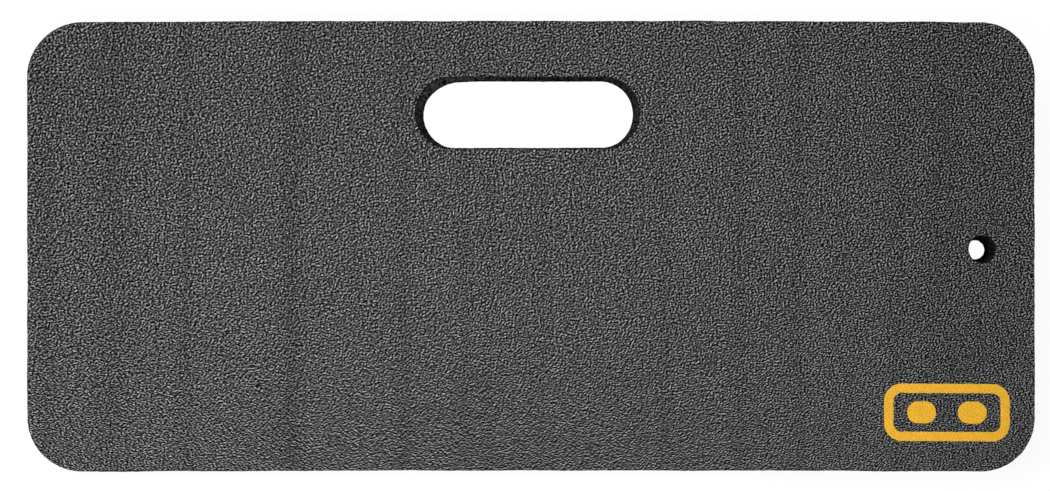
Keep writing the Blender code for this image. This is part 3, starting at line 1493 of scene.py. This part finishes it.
@dataclass(frozen=True)
class GrainedSkinFinish:
    """Dense foam skin with a pebble grain: painted shade darkens its pits and painted highlight lightens
    its pebbles.

    Where two numbers are given for a rim, the first is for the outline and the second for the openings.

    Attributes:
        name: The material's name.
        black: The grain height up to which the pits are painted black as shade.
        crest: The albedo of the painted highlight on the highest crests.
        tint: What multiplies red, green and blue.
        pitch: The distance between pebbles.
        contrast: How much the grain is deepened.
        depth: How far a pebble stands over a pit.
        level: The grain height at which the skin's own surface lies.
        patchiness: How far the tone strays in patches.
        painted_band_shade: How much painted shade darkens a full band.
        rim_starts: The rim mask at which the painted shade on the rolled rim starts.
        rim_ends: The rim mask at which it is full.
        rim_shade: How strong it is there.
        rim: The colour of that painted shade, which also fills the nick.
        cut_starts: The rim mask at which the skin's own cut edge starts.
        cut_ends: The rim mask at which it is full.
        cut_edge: Its colour.
        roughness: The roughness in the pits and on the pebbles.
    """

    name: str
    black: float = 0.23
    crest: float = 0.515
    tint: Colour = (0.975, 1.015, 0.99)
    pitch: float = 1.55 * MILLIMETRE
    contrast: float = 1.84
    depth: float = 0.36 * MILLIMETRE
    level: float = 0.4
    patchiness: float = 0.10
    painted_band_shade: float = 0.20
    rim_starts: tuple[float, float] = (0.50, 0.42)
    rim_ends: tuple[float, float] = (0.90, 0.74)
    rim_shade: tuple[float, float] = (0.60, 0.95)
    rim: Colour = (0.003, 0.003, 0.003)
    cut_starts: float = 0.80
    cut_ends: float = 0.97
    cut_edge: Colour = (0.014, 0.014, 0.0142)
    roughness: tuple[float, float] = (0.85, 0.6)

    def material(self, effects: SharedEffects) -> bpy.types.Material:
        """Makes the material.

        Args:
            effects: The shared node groups.

        Returns:
            The material.
        """
        surface = Surface.started(self.name)
        graph = surface.graph
        grain = graph.placed(effects.grain, Pitch=self.pitch, Contrast=self.contrast)["Height"]
        # Painted shade and highlight: the ramp blackens the grain's pits and lightens its crests.
        tone = graph.ramp(grain, tone_curve(self.black, self.crest, self.tint))
        mottle = graph.placed(effects.mottle, Amount=self.patchiness)["Tone"]
        # The bands are darkened with painted shade.
        tone = graph.shaded(tone, graph.times(mottle, graph.masked("band", 1.0, 1.0 - self.painted_band_shade)))
        # Painted shade darkens the rolled rims, more beside the openings, and fills the nick.
        rim = graph.mask("rim")
        pairs = (self.rim_starts, self.rim_ends, self.rim_shade)
        starts, full, shade = (graph.masked("bore", *pair, start=0.5) for pair in pairs)
        painted_rim_shade = graph.math("MAXIMUM", graph.spread(rim, starts, full, 0.0, shade), graph.mask("nick"))
        cut = graph.spread(rim, self.cut_starts, self.cut_ends, 0.0, 1.0)
        tone = graph.mixed(cut, graph.mixed(painted_rim_shade, tone, self.rim), self.cut_edge)
        surface.dress(tone, graph.spread(grain, PIT, PEBBLE, *self.roughness), specular=0.04)
        uncut = graph.math("SUBTRACT", 1.0, cut)
        surface.raise_by(graph.times(graph.math("SUBTRACT", grain, self.level), uncut), self.depth)
        return surface.material


@dataclass(frozen=True)
class CutFoamFinish:
    """The inside of the foam where the die cut it: near black, matt and finely cellular.

    Attributes:
        name: The material's name.
        wall: The colour of the cut cell walls.
        pore: The colour inside an open cell, darker with painted shade in its hollow.
        bore_shade: The painted shade on the openings' walls, as a factor on their tone.
        hole_shade: Further painted shade on the hang hole's wall, as a factor on its tone.
        left_end_painted_light: How much painted light brightens the slot's -X end wall, round the corner
            where the die dragged.
        streak_width: How wide the streaks down a wall are.
        streak_drag: How many times longer they are.
        streaks: How strong they are on the outer wall and in the openings.
        darkest: The least that a streak leaves.
        cell: The size of a cell.
        depth: How deep the cells are.
        roughness: The roughness of the cell walls and inside the cells.
    """

    name: str = "cut_closed_cell_foam"
    wall: Colour = (0.036, 0.036, 0.0365)
    pore: Colour = (0.006, 0.006, 0.006)
    bore_shade: float = 0.90
    hole_shade: float = 0.42
    left_end_painted_light: float = 1.2
    streak_width: float = 1.3 * MILLIMETRE
    streak_drag: float = 8.0
    streaks: tuple[float, float] = (0.5, 3.0)
    darkest: float = 0.12
    cell: float = 0.55 * MILLIMETRE
    depth: float = 0.16 * MILLIMETRE
    roughness: tuple[float, float] = (0.82, 0.95)

    def material(self, effects: SharedEffects) -> bpy.types.Material:
        """Makes the material.

        Args:
            effects: The shared node groups.

        Returns:
            The material.
        """
        surface = Surface.started(self.name)
        graph = surface.graph
        cells = graph.placed(effects.cells, Cell=self.cell)
        strength = graph.masked("bore", *self.streaks)
        streaks = graph.placed(
            effects.mottle, Patch=self.streak_width, Drag=self.streak_drag, Amount=strength
        )
        shade = graph.math("MAXIMUM", streaks["Tone"], self.darkest)
        # Painted shade dims the openings' walls, the hang hole's most.
        for mask, full in (
            ("bore", self.bore_shade), ("hole", self.hole_shade), ("torn", 1.0 + self.left_end_painted_light)
        ):
            # The torn factor is painted light on the slot's -X end wall.
            shade = graph.times(shade, graph.masked(mask, 1.0, full))
        # The open cells' darker colour is painted shade in their hollows.
        tone = graph.shaded(graph.mixed(cells["Pore"], self.wall, self.pore), shade)
        surface.dress(tone, graph.spread(cells["Pore"], 0.0, 1.0, *self.roughness), specular=0.0)
        surface.raise_by(cells["Height"], self.depth)
        return surface.material


@dataclass(frozen=True)
class InkFinish:
    """Warm yellow ink, opaque on the pebbles and a little thinner over the pits.

    Attributes:
        name: The material's name.
        full: Its colour on the pebbles.
        thin: Its colour over the pits.
        pitch: The skin's pebble pitch.
        contrast: How much of the grain shows.
        depth: How far a pebble still stands out.
        patch: The size of its uneven patches.
        patchiness: How far the tone strays in them.
        roughness: The roughness over the pits and on the pebbles.
    """

    name: str = "printed_yellow_ink"
    full: Colour = (0.77, 0.412, 0.017)
    thin: Colour = (0.56, 0.280, 0.012)
    pitch: float = 1.55 * MILLIMETRE
    contrast: float = 1.6
    depth: float = 0.10 * MILLIMETRE
    patch: float = 4.0 * MILLIMETRE
    patchiness: float = 0.12
    roughness: tuple[float, float] = (0.7, 0.5)

    def material(self, effects: SharedEffects) -> bpy.types.Material:
        """Makes the material.

        Args:
            effects: The shared node groups.

        Returns:
            The material.
        """
        surface = Surface.started(self.name)
        graph = surface.graph
        grain = graph.placed(effects.grain, Pitch=self.pitch, Contrast=self.contrast)["Height"]
        mottle = graph.placed(effects.mottle, Patch=self.patch, Amount=self.patchiness)["Tone"]
        bare, covered = 0.05, 0.55
        cover = graph.spread(grain, bare, covered, 0.0, 1.0)
        tone = graph.shaded(graph.mixed(cover, self.thin, self.full), mottle)
        surface.dress(tone, graph.spread(grain, PIT, PEBBLE, *self.roughness), specular=0.3)
        surface.raise_by(grain, self.depth)
        return surface.material


# --- Sub-assemblies ---


@dataclass(frozen=True)
class FoamSlab:
    """The foam blank: the cut core between its two skins."""

    form: PadForm
    effects: SharedEffects

    def build(self) -> list[bpy.types.Object]:
        """Returns:
            The pieces.
        """
        top = GrainedSkinFinish("grained_kneeling_skin")
        under = GrainedSkinFinish(
            "grained_under_skin", crest=0.43, tint=(1.0, 1.0, 1.0), pitch=2.0 * MILLIMETRE
        )
        skin = SkinSheet(self.form, Face.KNEELING, 1.15 * MILLIMETRE, 0.9 * MILLIMETRE)
        backing = SkinSheet(self.form, Face.UNDER, 2.0 * MILLIMETRE, 1.2 * MILLIMETRE)
        parts = (
            ("grained_top_skin", skin, top, "top_skin", "grained_skin"),
            ("cut_foam_core", CutCore(self.form), CutFoamFinish(), "foam_core", "foam_core"),
            ("grained_bottom_skin", backing, under, "bottom_skin", "under_skin"),
        )
        pieces = []
        for name, part, finish, node, slot in parts:
            piece = part.build(name, finish.material(self.effects))
            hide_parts(node)
            pieces.append(piece)
        return pieces


@dataclass(frozen=True)
class PrintedMark:
    """The yellow pictogram: a rounded frame round two knee spots."""

    form: PadForm
    effects: SharedEffects

    @staticmethod
    def outline_of(node: str) -> RoundedOutline:
        """Reads a printed shape's outer outline from its CAD solid."""
        return RoundedOutline.round_points(PadSizes.node_points(node))

    @staticmethod
    def stroke_of(node: str, outline: RoundedOutline) -> float:
        """Reads how wide the frame's line is, from where its straight sides end.

        Args:
            node: The frame's CAD node.
            outline: Its outer outline.

        Returns:
            The line's width.
        """
        points = PadSizes.node_points(node)
        off_centre = np.abs(points[:, 0] - outline.centre_x)
        ends = points[off_centre < off_centre.min() + SAME]
        heights = np.abs(ends[:, 1] - outline.centre_y)
        return float(np.ptp(heights))

    def build(self) -> list[bpy.types.Object]:
        """Builds the three islands of ink.

        Returns:
            The pieces.
        """
        ink = InkFinish().material(self.effects)
        film = InkFilm(self.form)
        border = self.outline_of("print_frame")
        opening = border.grown(-self.stroke_of("print_frame", border))
        shapes = {"print_frame": ("printed_frame", Region(border, (opening,)))}
        for knee in Knee:
            side = knee.name.lower()
            shapes[knee.value] = (f"printed_{side}_knee", Region(self.outline_of(knee.value)))
        pieces = []
        for node, (name, region) in shapes.items():
            piece = film.build(name, region, ink)
            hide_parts(node)
            pieces.append(piece)
        return pieces


@dataclass(frozen=True)
class Panel:
    """A flat, level, pale rectangle of the stage, which glows to the camera only.

    Attributes:
        name: Its name.
        length: Its size along X.
        width: Its size along Y.
        level: Its height.
        pale: Its colour to the light that falls on it.
        glow: How brightly it shows.
        seen_pale: Its colour to the camera, under that glow.
    """

    name: str
    length: float
    width: float
    level: float
    pale: float
    glow: float
    seen_pale: float = 0.10

    def build(self) -> None:
        """Makes the rectangle and hands it to the stage."""
        mesh = bpy.data.meshes.new(self.name)
        signs = ((-1, -1), (1, -1), (1, 1), (-1, 1))
        corners = [(x * self.length / 2, y * self.width / 2, self.level) for x, y in signs]
        mesh.from_pydata(corners, [], [(0, 1, 2, 3)])
        surface = Surface.started(self.name)
        graph = surface.graph
        seen = graph.node("ShaderNodeLightPath").outputs["Is Camera Ray"]
        tone = graph.mixed(seen, (self.pale,) * 3, (self.seen_pale,) * 3)
        surface.dress(tone, roughness=0.9, specular=0.0)
        strength = graph.spread(seen, 0.0, 1.0, 0.0, self.glow)
        graph.feed(surface.shader, {"Emission Color": (1.0, 1.0, 1.0, 1.0), "Emission Strength": strength})
        mesh.materials.append(surface.material)
        plane = bpy.data.objects.new(self.name, mesh)
        bpy.context.scene.collection.objects.link(plane)


@dataclass(frozen=True)
class Sun:
    """A distant, soft-edged light, which shines from where it stands towards the origin."""

    name: str
    place: Place
    strength: float
    angle: float = math.radians(28)

    def build(self) -> None:
        """Makes the light."""
        light = bpy.data.lights.new(self.name, "SUN")
        light.angle = self.angle
        light.energy = self.strength
        lamp = bpy.data.objects.new(self.name, light)
        lamp.location = self.place
        lamp.rotation_euler = (-Vector(self.place)).to_track_quat("-Z", "Y").to_euler()
        bpy.context.scene.collection.objects.link(lamp)


@dataclass(frozen=True)
class SoftBox:
    """A near lamp with a wide face that looks straight down."""

    name: str
    place: Place
    power: float
    length: float
    width: float

    def build(self) -> None:
        """Makes the lamp."""
        light = bpy.data.lights.new(self.name, "AREA")
        light.shape = "RECTANGLE"
        light.size, light.size_y = self.length, self.width
        light.energy = self.power
        lamp = bpy.data.objects.new(self.name, light)
        lamp.location = self.place
        lamp.visible_camera = False
        bpy.context.scene.collection.objects.link(lamp)


@dataclass(frozen=True)
class Studio:
    """A plain white table under soft lamps, and a camera straight above it.

    Attributes:
        sizes: The pad's sizes.
        lamps: Everything that lights it but the sky.
        sky: How brightly the surround lights, and how brightly it shows.
        floor_gap: How far the floor lies below the pad.
        camera_over: How high the camera stands over the kneeling face.
        field: The length of table that the camera sees at the kneeling face.
        aim: Where the camera's axis meets the pad.
        sensor: The width of the camera's sensor, in millimetres.
    """

    sizes: PadSizes
    lamps: tuple[Sun | SoftBox, ...] = (
        Sun("high_window", (-0.45, 0.55, 0.80), 1.3),
        Sun("white_reflector", (0.80, 0.0, 0.45), 0.17),
        SoftBox("near_lamp", (-0.10, -0.042, 0.38), 1.30, 0.24, 0.16),
    )
    sky: tuple[float, float] = (0.40, 1.05)
    floor_gap: float = 0.08 * MILLIMETRE
    camera_over: float = 1.469
    field: float = 0.4763
    aim: tuple[float, float] = (-0.0027, 0.0004)
    sensor: float = 36.0

    def build(self) -> None:
        """Makes the floor, the panel that shows through the pad's openings, the light and the camera."""
        level = self.sizes.bottom - self.floor_gap
        outline = self.sizes.outline
        inset, lift = 16 * MILLIMETRE, 0.05 * MILLIMETRE
        Panel("pale_floor", 40.0, 40.0, level, 0.70, 0.925).build()
        length, width = outline.length - inset, outline.width - inset
        Panel("light_panel", length, width, level + lift, 0.12, 0.97).build()
        for lamp in self.lamps:
            lamp.build()
        self.make_sky()
        self.make_camera()

    def make_sky(self) -> None:
        """Makes an even white surround: it lights softly, and shows as plain white behind the table."""
        world = bpy.data.worlds.new("white_surround")
        world.use_nodes = True
        graph = Graph(world.node_tree)
        background = world.node_tree.nodes["Background"]
        background.inputs["Color"].default_value = (1.0, 1.0, 1.0, 1.0)
        seen = graph.node("ShaderNodeLightPath").outputs["Is Camera Ray"]
        graph.put(background.inputs["Strength"], graph.spread(seen, 0.0, 1.0, *self.sky))
        bpy.context.scene.world = world

    def make_camera(self) -> None:
        """Makes the camera, straight above the pad, with +Y up in its picture."""
        lens = bpy.data.cameras.new("camera")
        lens.sensor_width = self.sensor
        lens.lens = self.sensor * self.camera_over / self.field
        lens.clip_start, lens.clip_end = 0.05, 60.0
        camera = bpy.data.objects.new("camera", lens)
        camera.location = (*self.aim, self.sizes.top + self.camera_over)
        bpy.context.scene.collection.objects.link(camera)
        bpy.context.scene.camera = camera
        bpy.context.scene.view_settings.view_transform = "Standard"


def main() -> None:
    """Builds the stage and the pad, and reports each piece."""
    logging.basicConfig(level=logging.INFO, format="%(name)s: %(message)s")
    sizes = PadSizes.measured()
    LOG.info("outline %s", sizes.outline)
    LOG.info("slot %s", sizes.slot)
    LOG.info("hole %s", sizes.hole)
    Studio(sizes).build()
    form = PadForm(sizes)
    effects = SharedEffects()
    pieces = FoamSlab(form, effects).build() + PrintedMark(form, effects).build()


if __name__ == "__main__":
    main()
